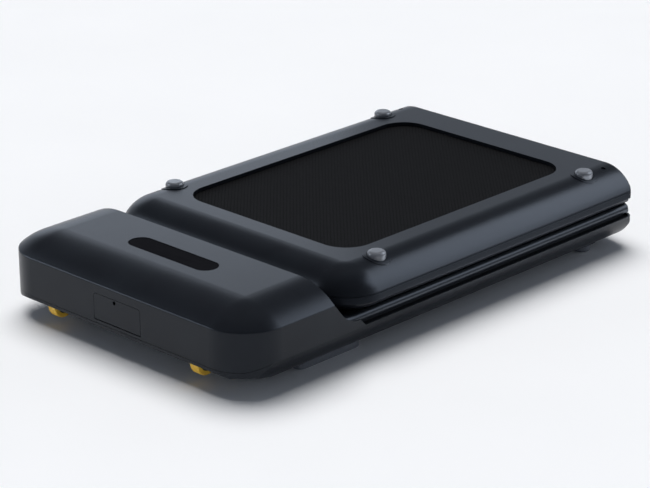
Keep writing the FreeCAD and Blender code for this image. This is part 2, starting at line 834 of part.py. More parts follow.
def make_hinge_leaves(half):
    """A plate bolted on the beam, with fingers that reach up to knuckles on the fold axis."""
    leaves = []
    plate_top = beam_depth - leaf_thickness
    plate_end = y_end - leaf_setback
    axis_z = fold_height
    lean = knuckle_radius * finger_lean
    drop = knuckle_radius * finger_drop
    for side in (-1, 1):
        outer = beam_inner + hinge_width()
        shapes = [slab(side * beam_inner, side * outer, plate_end - leaf_length, plate_end, plate_top,
                       beam_depth, half)]
        for x0, x1 in knuckle_spans(half):
            x0, x1 = sorted((side * x0, side * x1))
            shapes.append(rod_x(knuckle_radius, x0, x1, pivot_y, axis_z))
            root_y = plate_end - leaf_thickness
            outline = [(root_y, level(plate_top, half)), (root_y, level(beam_depth, half)),
                       (plate_end, level(beam_depth, half)), (pivot_y + lean, level(drop, half)),
                       (pivot_y - lean, level(-drop, half))]
            shapes.append(prism_x(outline, x0, x1))
        leaf = fuse(shapes)
        leaf = leaf.cut(rod_x(pin_radius + running_fit, -half_width, half_width, pivot_y, axis_z))
        for x, y in leaf_bolt_centres(side):
            leaf = leaf.cut(post(leaf_bolt_radius + running_fit, x, y, 0, beam_bottom, half))
        leaves.append(leaf)
    return Part.makeCompound(leaves)


def make_hinge_pins():
    inner, outer = beam_inner, beam_inner + hinge_width()
    return Part.makeCompound([rod_x(pin_radius, inner, outer, pivot_y, fold_height),
                              rod_x(pin_radius, -outer, -inner, pivot_y, fold_height)])


def hexagon(x, y, radius):
    return [(x + radius * math.cos(math.radians(60 * k)), y + radius * math.sin(math.radians(60 * k)))
            for k in range(6)]


def make_leaf_bolts(half):
    bolts = []
    plate_top = beam_depth - leaf_thickness
    for side in (-1, 1):
        for x, y in leaf_bolt_centres(side):
            z0, z1 = sorted((level(plate_top, half), level(plate_top - leaf_bolt_head_height, half)))
            head = prism_z(hexagon(x, y, leaf_bolt_head), z0, z1)
            bolts.append(fuse([head, post(leaf_bolt_radius, x, y, plate_top, beam_depth + beam_wall, half)]))
    return Part.makeCompound(bolts)


def make_shell_screws(half):
    screws = []
    for x, y in screw_places():
        head = post(screw_head_radius, x, y, screw_seat_depth, screw_seat_depth + screw_head_height, half)
        shank = post(screw_radius, x, y, beam_bottom - beam_wall, screw_seat_depth, half)
        screws.append(fuse([head, shank]))
    return Part.makeCompound(screws)


def belt_half_loop(y_roller, half):
    """The belt on one half: running face, wrap round the roller and return run."""
    z = level(roller_depth, half)
    outline = []
    for radius in (belt_wrap, belt_wrap - belt_thickness):
        low, high = z - radius, z + radius
        run = [(y_join, high), (y_roller, high), ((y_roller - radius, z), (y_roller, low)), (y_join, low)]
        outline.append(run)
    outer, inner = (prism_x(run, -belt_half, belt_half) for run in outline)
    return outer.cut(inner)


def belt_band(reach, bend, depth_outer, depth_inner):
    """The belt where it turns round the fold, as an outer form less an inner one."""
    forms = []
    for depth, inset in ((depth_outer, 0), (depth_inner, belt_thickness)):
        radius, edge = bend - inset, reach - inset
        low, high = fold_height - depth, fold_height + depth
        middle = radius * math.sqrt(0.5)
        y = pivot_y + edge - radius
        outline = [(y_join, low), (y, low), ((y + middle, low + radius - middle), (y + radius, low + radius)),
                   (y + radius, high - radius), ((y + middle, high - radius + middle), (y, high)),
                   (y_join, high)]
        forms.append(prism_x(outline, -belt_half, belt_half))
    return forms[0].cut(forms[1])


def make_roller(y, half):
    z = level(roller_depth, half)
    tube = rod_x(roller_radius, -roller_half, roller_half, y, z)
    return tube.cut(rod_x(roller_radius - roller_tube_wall, -roller_half, roller_half, y, z))


def make_bearings(y, half):
    z = level(roller_depth, half)
    rings = []
    for side in (-1, 1):
        x0, x1 = sorted((side * roller_half, side * (roller_half - bearing_width)))
        ring = rod_x(roller_radius - roller_tube_wall, x0, x1, y, z)
        rings.append(ring.cut(rod_x(axle_radius + running_fit, x0, x1, y, z)))
    return Part.makeCompound(rings)


def make_axle(y, reach, half):
    return rod_x(axle_radius, -reach, reach, y, level(roller_depth, half))


def make_roller_pulley():
    z = level(roller_depth, FRONT)
    pulley = rod_x(roller_pulley_radius, pulley_start, -roller_half, y_front_roller, z)
    return pulley.cut(rod_x(axle_radius + running_fit, pulley_start, -roller_half, y_front_roller, z))


def loop_outline(centre_a, radius_a, centre_b, radius_b):
    """A belt line round two pulleys, as two arcs joined by tangents."""
    dy, dz = centre_b[0] - centre_a[0], centre_b[1] - centre_a[1]
    heading = math.atan2(dz, dy)
    spread = math.acos((radius_a - radius_b) / math.hypot(dy, dz))

    def on(centre, radius, angle):
        return (centre[0] + radius * math.cos(angle), centre[1] + radius * math.sin(angle))

    return [on(centre_a, radius_a, heading + spread),
            (on(centre_a, radius_a, heading + math.pi), on(centre_a, radius_a, heading - spread)),
            on(centre_b, radius_b, heading - spread),
            (on(centre_b, radius_b, heading), on(centre_b, radius_b, heading + spread))]


def make_drive_belt():
    motor, roller = (motor_y, motor_z), (y_front_roller, level(roller_depth, FRONT))
    middle = (pulley_start - roller_half) / 2
    forms = []
    for extra in (surface_gap + drive_belt_thickness, surface_gap):
        outline = loop_outline(motor, motor_pulley_radius + extra, roller, roller_pulley_radius + extra)
        forms.append(prism_x(outline, middle - drive_belt_width / 2, middle + drive_belt_width / 2))
    return forms[0].cut(forms[1])


def make_motor_can():
    x0, x1 = motor_start, motor_start + motor_length
    can = rod_x(motor_radius, x0, x1, motor_y, motor_z)
    can = can.cut(rod_x(motor_radius - motor_wall, x0 + motor_wall, x1 - motor_wall, motor_y, motor_z))
    return can.cut(rod_x(shaft_radius + running_fit, x0 - wall, x1 + wall, motor_y, motor_z))


def make_motor_rotor():
    x0, x1 = motor_start, motor_start + motor_length
    shaft = rod_x(shaft_radius, pulley_start, x1, motor_y, motor_z)
    armature = rod_x(armature_radius, x0 + 4 * motor_wall, x1 - 4 * motor_wall, motor_y, motor_z)
    return fuse([shaft, armature])


def make_motor_pulley():
    pulley = rod_x(motor_pulley_radius, pulley_start, -roller_half, motor_y, motor_z)
    return pulley.cut(rod_x(shaft_radius, pulley_start, -roller_half, motor_y, motor_z))


def make_motor_bracket():
    x0, x1 = motor_start + saddle_inset, motor_start + motor_length - saddle_inset
    y1 = y_front_roller - belt_wrap - saddle_to_belt
    y0 = y1 - saddle_width
    low = floor_height + wall
    shapes = [box(x0, x1, y0, y1, low, low + saddle_base)]
    for x in (x0, x1 - saddle_thickness):
        shapes.append(box(x, x + saddle_thickness, y0, y1, low, motor_z - motor_radius / 2))
    return fuse(shapes).cut(rod_x(motor_radius, x0 - wall, x1 + wall, motor_y, motor_z))


def board_corner():
    return board_start, y_front + board_from_front, floor_height + wall + standoff_height


def make_controller_board():
    x, y, z = board_corner()
    shapes = [box(x, x + board_length, y, y + board_width, z, z + board_thickness)]
    for place in capacitor_places:
        centre = Vector(x + board_length * place, y + board_width / 2, z + board_thickness)
        shapes.append(Part.makeCylinder(capacitor_radius, capacitor_height, centre))
    return fuse(shapes)


def make_heat_sink():
    x, y, z = board_corner()
    z += board_thickness
    step = heat_sink_length / heat_sink_fins
    shapes = [box(x, x + heat_sink_length, y, y + board_width, z, z + wall)]
    for k in range(heat_sink_fins):
        start = x + k * step
        shapes.append(box(start, start + step / 3, y, y + board_width, z, z + heat_sink_height))
    return fuse(shapes)


def make_display_lens():
    seat = hood_height - wall
    lens = prism_z(display_outline(-display_fit), seat, hood_height - display_recess)
    flange = prism_z(display_outline(display_flange), seat - display_flange_thickness, seat)
    return fuse([lens, flange])


def make_display_board():
    high = hood_height - wall - display_flange_thickness
    low = high - display_block_height
    block = prism_z(display_outline(-display_flange), low, high)
    board = prism_z(display_outline(0), low - display_board_thickness, low)
    return fuse([block, board])


def make_wheel(side):
    x0, x1 = side * wheel_x - wheel_width / 2, side * wheel_x + wheel_width / 2
    hub = rod_x(wheel_hub_radius, x0, x1, wheel_y, wheel_height)
    hub = hub.cut(rod_x(wheel_axle_radius + running_fit, x0, x1, wheel_y, wheel_height))
    tyre = rod_x(wheel_radius, x0, x1, wheel_y, wheel_height)
    rims = [edge for edge in tyre.Edges if edge.Curve.TypeId == "Part::GeomCircle"]
    tyre = tyre.makeFillet(wheel_width / 8, rims)
    return hub, tyre.cut(rod_x(wheel_hub_radius, x0, x1, wheel_y, wheel_height))


def wheel_bracket_half():
    return wheel_width / 2 + wheel_side_gap


def make_wheel_brackets():
    brackets = []
    y0, y1 = y_front + wheel_bracket_start, y_front + wheel_bracket_end
    low = wheel_height + wheel_radius + wheel_bridge_gap
    high, shoulder = low + wheel_plate, wheel_height + wheel_bracket_shoulder
    bridge0, bridge1 = wheel_y - wheel_bridge_half, wheel_y + wheel_bridge_half
    outline = [(y0, bow_line(y0, wall)), (y1, bow_line(y1, wall)), (y1, shoulder), (bridge1, high),
               (bridge0, high), (y0, shoulder)]
    inner = wheel_bracket_half()
    for side in (-1, 1):
        x = side * wheel_x
        shapes = [prism_x(outline, x + inner, x + inner + wheel_plate),
                  prism_x(outline, x - inner - wheel_plate, x - inner),
                  box(x - inner, x + inner, bridge0, bridge1, low, high)]
        bracket = fuse(shapes)
        brackets.append(bracket.cut(wheel_axle(side, running_fit)))
    return Part.makeCompound(brackets)


def wheel_axle(side, extra):
    x, reach = side * wheel_x, wheel_bracket_half() + wheel_plate
    return rod_x(wheel_axle_radius + extra, x - reach, x + reach, wheel_y, wheel_height)


def make_feet(half):
    """Round rubber feet with a well rounded edge, their backs moulded to the curve of the shell."""
    form = half_form(0, half)
    flat, edge_start = foot_radius - foot_edge, fold_height - foot_edge
    outline = [(0, beam_bottom), (foot_radius, beam_bottom), (foot_radius, edge_start),
               corner_arc(flat, edge_start, foot_edge, 0), (0, fold_height)]
    feet = []
    for x, y in feet_places(half):
        face = face_of(outline, lambda r, depth: Vector(x + r, y, level(depth, half)))
        feet.append(face.revolve(Vector(x, y, 0), Vector(0, 0, 1), 360).cut(form))
    return Part.makeCompound(feet)


def make_front_pads():
    outer = base_form(0, y_end)
    pads = []
    for side in (-1, 1):
        y = y_front + pad_start + pad_length / 2
        pad = prism_z(stadium(side * pad_x, y, pad_width, pad_length), 0, fold_height - beam_bottom)
        rim = [edge for edge in pad.Edges if edge.BoundBox.ZMax < pad_edge / 2]
        pads.append(pad.makeFillet(pad_edge, rim).cut(outer))
    return Part.makeCompound(pads)


def tension_x():
    return (roller_half + tension_side_gap + beam_inner - tension_plate) / 2


def make_tension_plates():
    """Brackets on the tail beams that guide the roller axle and hold its tension bolts."""
    plates = []
    z = level(roller_depth, REAR)
    for side in (-1, 1):
        y0 = y_rear_roller - tension_tab_lead
        x_in, x_out = side * (beam_inner - tension_plate), side * beam_inner
        top, low = ledge_bottom + seam_gap, 2 * roller_depth - beam_depth
        plate = slab(x_in, x_out, y0, y_rear_roller + tension_plate_reach, top, low, REAR)
        tab = slab(side * (roller_half + tension_side_gap), x_out, y0, y0 + tension_tab, top, low, REAR)
        shape = fuse([plate, tab])
        slot = axle_radius + running_fit
        lo, hi = sorted((side * (beam_inner - 2 * tension_plate), side * (beam_inner + wall)))
        for shift in (-tension_slot / 2, tension_slot / 2):
            shape = shape.cut(rod_x(slot, lo, hi, y_rear_roller + shift, z))
        y_slot, half_slot = y_rear_roller, tension_slot / 2
        shape = shape.cut(box(lo, hi, y_slot - half_slot, y_slot + half_slot, z - slot, z + slot))
        hole = rod_y(tension_bolt_radius + running_fit, y0 - wall, y_rear_roller, side * tension_x(), z)
        plates.append(shape.cut(hole))
    return Part.makeCompound(plates)


def make_rear_axle():
    axle = make_axle(y_rear_roller, beam_inner - running_fit, REAR)
    for side in (-1, 1):
        axle = axle.cut(rod_y(tension_bolt_radius + running_fit, y_rear_roller - 2 * axle_radius,
                              y_rear_roller + 2 * axle_radius, side * tension_x(), level(roller_depth, REAR)))
    return axle


def make_tension_bolts():
    bolts = []
    z = level(roller_depth, REAR)
    y0 = y_rear_roller - tension_tab_lead
    for side in (-1, 1):
        x = side * tension_x()
        shank = rod_y(tension_bolt_radius, y0, y_rear_roller + tension_bolt_reach, x, z)
        flats = hexagon(x, z, tension_head_radius)
        head = face_of(flats, lambda a, b: Vector(a, y0 - tension_head_height, b))
        bolts.append(fuse([shank, head.extrude(Vector(0, tension_head_height, 0))]))
    return Part.makeCompound(bolts)


def build_nodes():
    nodes = {
        "front_base_shell": make_front_shell(),
        "motor_hood": make_hood(),
        "front_frame": make_frame(FRONT),
        "front_deck": make_deck(FRONT),
        "front_deck_cushions": make_cushions(FRONT),
        "front_hinge_leaves": make_hinge_leaves(FRONT),
        "front_hinge_bolts": make_leaf_bolts(FRONT),
        "front_shell_screws": make_shell_screws(FRONT),
        "hinge_pins": make_hinge_pins(),
        "front_feet": make_feet(FRONT),
        "front_pads": make_front_pads(),
        "belt_front": belt_half_loop(y_front_roller, FRONT),
        "belt_fold_outer": belt_band(belt_bulge, belt_bend, return_depth, return_depth - belt_thickness),
        "belt_fold_inner": belt_band(belt_drop + belt_thickness, belt_drop + belt_thickness,
                                     belt_drop + belt_thickness, belt_drop),
        "front_roller": make_roller(y_front_roller, FRONT),
        "front_roller_axle": make_axle(y_front_roller, beam_inner + beam_wall, FRONT),
        "front_roller_bearings": make_bearings(y_front_roller, FRONT),
        "roller_pulley": make_roller_pulley(),
        "motor_can": make_motor_can(),
        "motor_rotor": make_motor_rotor(),
        "motor_pulley": make_motor_pulley(),
        "motor_bracket": make_motor_bracket(),
        "drive_belt": make_drive_belt(),
        "controller_board": make_controller_board(),
        "heat_sink": make_heat_sink(),
        "display_lens": make_display_lens(),
        "display_board": make_display_board(),
        "inlet_box": make_inlet_box(),
        "front_flap": make_flap(),
        "flap_pins": Part.makeCompound(both_sides(lambda side: flap_pin(side, flap_pin_radius))),
        "switch_housing": make_switch_housing(),
        "switch_rocker": make_rocker(),
        "wheel_brackets": make_wheel_brackets(),
        "wheel_axles": Part.makeCompound(both_sides(lambda side: wheel_axle(side, 0))),
        "rear_base_shell": make_rear_shell(),
        "rear_tail_cover": make_tail_cover(),
        "rear_frame": make_frame(REAR),
        "rear_deck": make_deck(REAR),
        "rear_deck_cushions": make_cushions(REAR),
        "rear_hinge_leaves": make_hinge_leaves(REAR),
        "rear_hinge_bolts": make_leaf_bolts(REAR),
        "rear_shell_screws": make_shell_screws(REAR),
        "rear_feet": make_feet(REAR),
        "belt_rear": belt_half_loop(y_rear_roller, REAR),
        "rear_roller": make_roller(y_rear_roller, REAR),
        "rear_roller_axle": make_rear_axle(),
        "rear_roller_bearings": make_bearings(y_rear_roller, REAR),
        "tension_plates": make_tension_plates(),
        "tension_bolts": make_tension_bolts(),
    }
    for side, name in ((-1, "left"), (1, "right")):
        nodes["front_rail_" + name] = make_rail(side, y_hood, FRONT)
        nodes["rear_rail_" + name] = make_rail(side, tail_corner_y, REAR)
        nodes["wheel_hub_" + name], nodes["wheel_tyre_" + name] = make_wheel(side)
    nodes["power_inlet"], nodes["inlet_blades"] = make_inlet()
    return nodes


os.makedirs("parts", exist_ok=True)
for node_name, node_shape in build_nodes().items():
    node_shape.exportStep("parts/" + node_name + ".step")
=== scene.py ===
import json
import math

import bmesh
import bpy
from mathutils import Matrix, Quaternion, Vector


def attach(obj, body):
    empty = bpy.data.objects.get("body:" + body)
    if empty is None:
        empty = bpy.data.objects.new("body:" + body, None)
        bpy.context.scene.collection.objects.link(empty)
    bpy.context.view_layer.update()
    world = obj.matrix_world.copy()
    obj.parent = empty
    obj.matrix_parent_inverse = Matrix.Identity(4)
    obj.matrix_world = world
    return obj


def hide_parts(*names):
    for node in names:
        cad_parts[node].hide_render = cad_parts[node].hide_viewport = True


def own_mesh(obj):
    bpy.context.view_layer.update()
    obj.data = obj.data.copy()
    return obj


# The looks of a folding walking pad, folded shut. Metres, X across, -Y the hood end, +Y the fold, z = 0 the floor.
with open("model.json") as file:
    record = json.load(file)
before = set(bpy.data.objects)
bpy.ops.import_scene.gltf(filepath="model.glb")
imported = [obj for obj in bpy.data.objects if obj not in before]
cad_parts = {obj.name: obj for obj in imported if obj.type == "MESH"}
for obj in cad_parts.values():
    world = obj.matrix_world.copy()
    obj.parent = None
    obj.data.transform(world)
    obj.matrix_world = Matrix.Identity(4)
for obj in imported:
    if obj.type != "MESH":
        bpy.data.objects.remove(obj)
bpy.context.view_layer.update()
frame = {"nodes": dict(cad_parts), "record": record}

MM = 0.001


def linear(hex_colour):
    """Linear colour of an sRGB hex value."""
    parts = [int(hex_colour[i:i + 2], 16) / 255 for i in (1, 3, 5)]
    return tuple(c / 12.92 if c <= 0.04045 else ((c + 0.055) / 1.055) ** 2.4 for c in parts) + (1.0,)


def add(tree, kind, inputs=None, stops=(), **settings):
    """Add a node with its settings; an input that is given a socket is linked, and any other is set."""
    made = tree.nodes.new(kind)
    for name, value in settings.items():
        setattr(made, name, value)
    for name, value in (inputs or {}).items():
        if isinstance(value, bpy.types.NodeSocket):
            tree.links.new(value, made.inputs[name])
        else:
            made.inputs[name].default_value = value
    for index, (position, colour) in enumerate(stops):
        made.color_ramp.elements[index].position = position
        made.color_ramp.elements[index].color = linear(colour)
    return made


def begin(name):
    """A new empty material, and the place on the piece that every pattern is drawn from."""
    material = bpy.data.materials.new(name)
    material.use_nodes = True
    tree = material.node_tree
    tree.nodes.clear()
    return material, tree, add(tree, "ShaderNodeTexCoord").outputs["Object"]


def close(tree, tone, colours, gloss, roughness, height, depth_mm, **constants):
    """End a material in its shader. Three masks give its tone, gloss and bump, the bump at its real depth."""
    dark, light = colours
    ramp = add(tree, "ShaderNodeValToRGB", {"Fac": tone}, ((0.3, dark), (0.7, light)))
    rough = add(tree, "ShaderNodeMapRange", {"Value": gloss, "To Min": roughness[0], "To Max": roughness[1]})
    bump = add(tree, "ShaderNodeBump", {"Height": height, "Strength": 1.0, "Distance": depth_mm * MM})
    inputs = {"Base Color": ramp.outputs["Color"], "Roughness": rough.outputs["Result"],
              "Normal": bump.outputs["Normal"]}
    for name, value in constants.items():
        inputs[name.replace("_", " ")] = value
    shader = add(tree, "ShaderNodeBsdfPrincipled", inputs)
    add(tree, "ShaderNodeOutputMaterial", {"Surface": shader.outputs["BSDF"]})


# Noise is drawn in lumps about as wide as the size that its scale is worked out from
EVEN = {"Detail": 2.0, "Roughness": 0.55}
BROKEN = {"Detail": 3.0, "Roughness": 0.55}
FIBROUS = {"Detail": 4.0, "Roughness": 0.55}


def moulded_abs():
    # ABS moulded in a spark-eroded tool: a satin graphite skin of fine even grain, with broad soft highlights.
    # The grain is drawn at 0.5 mm, coarser than a real one, to show close up.
    material, tree, place = begin("moulded_graphite_abs")
    grain = add(tree, "ShaderNodeTexNoise", {"Vector": place, "Scale": 1 / (0.5 * MM), **EVEN}).outputs["Fac"]
    cloud = add(tree, "ShaderNodeTexNoise", {"Vector": place, "Scale": 1 / (60.0 * MM), **EVEN}).outputs["Fac"]
    close(tree, cloud, ("#181a1f", "#1c1f24"), grain, (0.24, 0.34), grain, 0.02, IOR=1.53,
          Specular_IOR_Level=0.2, Specular_Tint=linear("#e2eaf5"))
    return material


def moulded_black_abs():
    # Black ABS with a coarser grain: dull, with only a faint sheen on its edges.
    material, tree, place = begin("moulded_black_abs")
    grain = add(tree, "ShaderNodeTexNoise", {"Vector": place, "Scale": 1 / (0.7 * MM), **EVEN}).outputs["Fac"]
    cloud = add(tree, "ShaderNodeTexNoise", {"Vector": place, "Scale": 1 / (25.0 * MM), **EVEN}).outputs["Fac"]
    close(tree, cloud, ("#111112", "#161617"), grain, (0.48, 0.6), grain, 0.03, IOR=1.53)
    return material


def smoked_acrylic():
    # Smoke-tinted acrylic with a coat against glare: near black, with a dim soft reflection and the haze of wiping.
    material, tree, place = begin("coated_smoked_acrylic")
    wiped = add(tree, "ShaderNodeMapping", {"Vector": place, "Scale": (0.3, 1.0, 1.0)}).outputs["Vector"]
    haze = add(tree, "ShaderNodeTexNoise", {"Vector": wiped, "Scale": 1 / (12.0 * MM), **BROKEN}).outputs["Fac"]
    close(tree, haze, ("#121215", "#161619"), haze, (0.3, 0.42), haze, 0.004, IOR=1.49, Specular_IOR_Level=0.001)
    return material


def embossed_belt():
    # Calendered PVC belt embossed with small diamonds: matt near-black, with painted shade that draws its grooves
    # darker than its tops.
    material, tree, place = begin("embossed_pvc_belt")
    pitch = 7.0 * MM
    sides = []
    for way in (1, -1):
        across = add(tree, "ShaderNodeVectorMath", {0: place, 1: (1 / pitch, way / pitch, way / pitch)},
                     operation="DOT_PRODUCT").outputs["Value"]
        sides.append(add(tree, "ShaderNodeMath", {0: across, 1: 0.5}, operation="PINGPONG").outputs["Value"])
    edge = add(tree, "ShaderNodeMath", {0: sides[0], 1: sides[1]}, operation="MINIMUM").outputs["Value"]
    top = add(tree, "ShaderNodeMapRange", {"Value": edge, "From Min": 0.03, "From Max": 0.16},
              interpolation_type="SMOOTHSTEP").outputs["Result"]
    grain = add(tree, "ShaderNodeTexNoise", {"Vector": place, "Scale": 1 / (0.8 * MM), **EVEN}).outputs["Fac"]
    height = add(tree, "ShaderNodeMath", {0: grain, 1: 0.2, 2: top}, operation="MULTIPLY_ADD").outputs["Value"]
    # Painted shade: the tone follows the height, so the grooves come out darker than the tops, with a little random
    # grain
    tone = add(tree, "ShaderNodeMath", {0: height, 1: 0.9}, operation="MULTIPLY").outputs["Value"]
    close(tree, tone, ("#0c0c0d", "#1a1a1b"), grain, (0.68, 0.82), height, 0.25, IOR=1.52, Specular_IOR_Level=0.03)
    return material


def moulded_rubber(name, colours, roughness, grain_mm):
    # Rubber or nylon from a mould: a soft dull skin, mottled a little by bloom on its surface.
    material, tree, place = begin(name)
    grain = add(tree, "ShaderNodeTexNoise", {"Vector": place, "Scale": 1 / (grain_mm * MM), **EVEN}).outputs["Fac"]
    bloom = add(tree, "ShaderNodeTexNoise", {"Vector": place, "Scale": 1 / (9.0 * MM), **BROKEN}).outputs["Fac"]
    close(tree, bloom, colours, grain, roughness, grain, 0.03, IOR=1.52)
    return material


def cast_golden_tyre():
    # Cast polyurethane tyre: golden yellow, a little waxy, with a fine moulded skin.
    material, tree, place = begin("cast_golden_polyurethane")
    grain = add(tree, "ShaderNodeTexNoise", {"Vector": place, "Scale": 1 / (0.8 * MM), **EVEN}).outputs["Fac"]
    cloud = add(tree, "ShaderNodeTexNoise", {"Vector": place, "Scale": 1 / (8.0 * MM), **EVEN}).outputs["Fac"]
    close(tree, cloud, ("#efbb35", "#f6c94c"), grain, (0.38, 0.5), grain, 0.03, IOR=1.5)
    return material


def coated_steel(name, colours, roughness):
    # Sheet or tube steel with a baked coat: even black, with the small waves of orange peel.
    material, tree, place = begin(name)
    peel = add(tree, "ShaderNodeTexNoise", {"Vector": place, "Scale": 1 / (1.6 * MM), **EVEN}).outputs["Fac"]
    cloud = add(tree, "ShaderNodeTexNoise", {"Vector": place, "Scale": 1 / (30.0 * MM), **EVEN}).outputs["Fac"]
    close(tree, cloud, colours, peel, roughness, peel, 0.03, IOR=1.5)
    return material


def worked_metal(name, colours, roughness, along):
    # Bare metal, plated, cast or stamped: bright, with fine marks of the tool running round or along the piece.
    material, tree, place = begin(name)
    run = add(tree, "ShaderNodeMapping", {"Vector": place, "Scale": along}).outputs["Vector"]
    marks = add(tree, "ShaderNodeTexNoise", {"Vector": run, "Scale": 1 / (0.35 * MM), **EVEN}).outputs["Fac"]
    cloud = add(tree, "ShaderNodeTexNoise", {"Vector": place, "Scale": 1 / (14.0 * MM), **EVEN}).outputs["Fac"]
    close(tree, cloud, colours, marks, roughness, marks, 0.008, Metallic=1.0)
    return material


def pressed_fibre_board():
    # Pressed fibre board, waxed: brown, flecked by short fibres that lie along the deck.
    material, tree, place = begin("waxed_fibre_board")
    run = add(tree, "ShaderNodeMapping", {"Vector": place, "Scale": (1.0, 0.2, 1.0)}).outputs["Vector"]
    fibre = add(tree, "ShaderNodeTexNoise", {"Vector": run, "Scale": 1 / (0.9 * MM), **FIBROUS}).outputs["Fac"]
    close(tree, fibre, ("#5a422c", "#7c5f41"), fibre, (0.45, 0.62), fibre, 0.03, IOR=1.5)
    return material


def lacquered_laminate():
    # Glass laminate under green lacquer: the copper tracks below show as slightly lighter raised lines.
    material, tree, place = begin("lacquered_circuit_laminate")
    tracks = add(tree, "ShaderNodeTexBrick", {"Vector": place, "Scale": 1 / (12.0 * MM), "Mortar Size": 0.06,
                                              "Mortar Smooth": 0.3}).outputs["Fac"]
    grain = add(tree, "ShaderNodeTexNoise", {"Vector": place, "Scale": 1 / (0.6 * MM), **EVEN}).outputs["Fac"]
    close(tree, tracks, ("#0d3b20", "#1c5a33"), grain, (0.25, 0.38), tracks, 0.03, IOR=1.5)
    return material


def ribbed_drive_belt():
    # Ribbed rubber drive belt: dull black, with ribs running along it at their usual pitch of 2.34 mm, and painted
    # shade that draws the valleys between the ribs darker.
    material, tree, place = begin("ribbed_drive_rubber")
    rib = add(tree, "ShaderNodeTexWave", {"Vector": place, "Scale": math.pi / (10 * 2.34 * MM)},
              bands_direction="X").outputs["Fac"]
    grain = add(tree, "ShaderNodeTexNoise", {"Vector": place, "Scale": 1 / (0.6 * MM), **EVEN}).outputs["Fac"]
    # Painted shade: the tone follows the ribs' height, so their valleys come out darker than their crests
    close(tree, rib, ("#0e0e0e", "#1b1b1b"), grain, (0.6, 0.75), rib, 0.3, IOR=1.52)
    return material


def painted_floor():
    # Matt painted studio floor: pale and even, with the faintest mottle.
    material, tree, place = begin("matt_painted_floor")
    mottle = add(tree, "ShaderNodeTexNoise", {"Vector": place, "Scale": 1 / (300.0 * MM), **EVEN}).outputs["Fac"]
    close(tree, mottle, ("#fafafb", "#fcfcfd"), mottle, (0.85, 0.95), mottle, 0.01, IOR=1.5,
          Specular_IOR_Level=0.0)
    return material


finishes = {
    "shell_plastic": moulded_abs(),
    "black_plastic": moulded_black_abs(),
    "smoked_lens": smoked_acrylic(),
    "belt_rubber": embossed_belt(),
    "painted_steel": coated_steel("powder_coated_steel", ("#17171a", "#1d1d20"), (0.42, 0.54)),
    "bright_steel": worked_metal("zinc_plated_turned_steel", ("#b2b5ba", "#c2c5ca"), (0.22, 0.4), (1.0, 0.15, 0.15)),
    "cast_alloy": worked_metal("cast_aluminium", ("#a3a5a8", "#b4b6b9"), (0.34, 0.52), (1.0, 1.0, 1.0)),
    "deck_board": pressed_fibre_board(),
    "foot_rubber": moulded_rubber("moulded_foot_rubber", ("#676a70", "#6f7278"), (0.2, 0.32), 0.6),
    "cushion_rubber": moulded_rubber("moulded_buffer_rubber", ("#1a1a1a", "#222222"), (0.55, 0.67), 0.9),
    "golden_tyre": cast_golden_tyre(),
    "hub_plastic": moulded_rubber("moulded_black_nylon", ("#161616", "#1d1d1d"), (0.4, 0.52), 0.7),
    "circuit_board": lacquered_laminate(),
    "contact_brass": worked_metal("stamped_brass", ("#b8923f", "#c9a552"), (0.2, 0.38), (1.0, 0.2, 1.0)),
    "motor_paint": coated_steel("painted_rolled_steel", ("#1d1d1f", "#242427"), (0.28, 0.4)),
    "drive_rubber": ribbed_drive_belt(),
}
for entry in frame["record"]["subparts"]:
    surface = frame["nodes"][entry["node"]].data
    surface.materials.clear()
    surface.materials.append(finishes[entry["material_slot"]])


# The belt where it turns round the fold: a flat lead on each half, and a bend between the leads that rides on the
# front half. Depths and bends are those of the belt's outer face.
PIVOT_Y = 417.5 * MM
FOLD_Z = 66.0 * MM
BELT_HALF = 200.0 * MM
BELT_THICKNESS = 1.8 * MM
JOIN_Y = 405.5 * MM
LEAD_GAP = 0.1 * MM
LEAD_STEPS = 2
BEND_STEPS = 10
RISE_STEPS = 16
MERGE = 0.01 * MM
OUTER_DEPTH = 52.6 * MM
OUTER_BEND = 18.0 * MM
OUTER_TURN_Y = PIVOT_Y - 6.0 * MM
INNER_DEPTH = 5.8 * MM


def strip_start(y, z):
    """The first edge of a strip of belt, across its full width."""
    bm = bmesh.new()
    return bm, [bm.edges.new([bm.verts.new((x, y, z)) for x in (-BELT_HALF, BELT_HALF)])]


def sweep_straight(bm, edges, move, steps):
    """Carry the last edge of a strip along a straight move, in a few steps so that its faces stay short."""
    for _ in range(steps):
        made = bmesh.ops.extrude_edge_only(bm, edges=edges)["geom"]
        verts = [g for g in made if isinstance(g, bmesh.types.BMVert)]
        edges = [g for g in made if isinstance(g, bmesh.types.BMEdge)]
        bmesh.ops.translate(bm, verts=verts, vec=Vector(move) / steps)
    return edges


def sweep_quarter(bm, edges, centre):
    """Carry the last edge of a strip a quarter turn round an axis along X."""
    geom = edges + [v for e in edges for v in e.verts]
    made = bmesh.ops.spin(bm, geom=geom, cent=centre, axis=(1, 0, 0), angle=math.radians(90), steps=BEND_STEPS)
    return [g for g in made["geom_last"] if isinstance(g, bmesh.types.BMEdge)]


def belt_piece(bm, name, body):
    """A finished piece of belt that rides on one body."""
    mesh = bpy.data.meshes.new(name)
    bm.to_mesh(mesh)
    bm.free()
    mesh.materials.append(finishes["belt_rubber"])
    piece = bpy.data.objects.new(name, mesh)
    bpy.context.scene.collection.objects.link(piece)
    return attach(piece, body)


def belt_lead(name, body, side, depth, turn_y):
    """The flat end of one half's belt, up to where it turns."""
    bm, edges = strip_start(JOIN_Y, FOLD_Z + side * depth)
    sweep_straight(bm, edges, (0, turn_y - LEAD_GAP - JOIN_Y, 0), LEAD_STEPS)
    made = bmesh.ops.extrude_face_region(bm, geom=bm.faces[:])["geom"]
    verts = [g for g in made if isinstance(g, bmesh.types.BMVert)]
    bmesh.ops.translate(bm, verts=verts, vec=(0, 0, -side * BELT_THICKNESS))
    bmesh.ops.recalc_face_normals(bm, faces=bm.faces)
    belt_piece(bm, name, body)


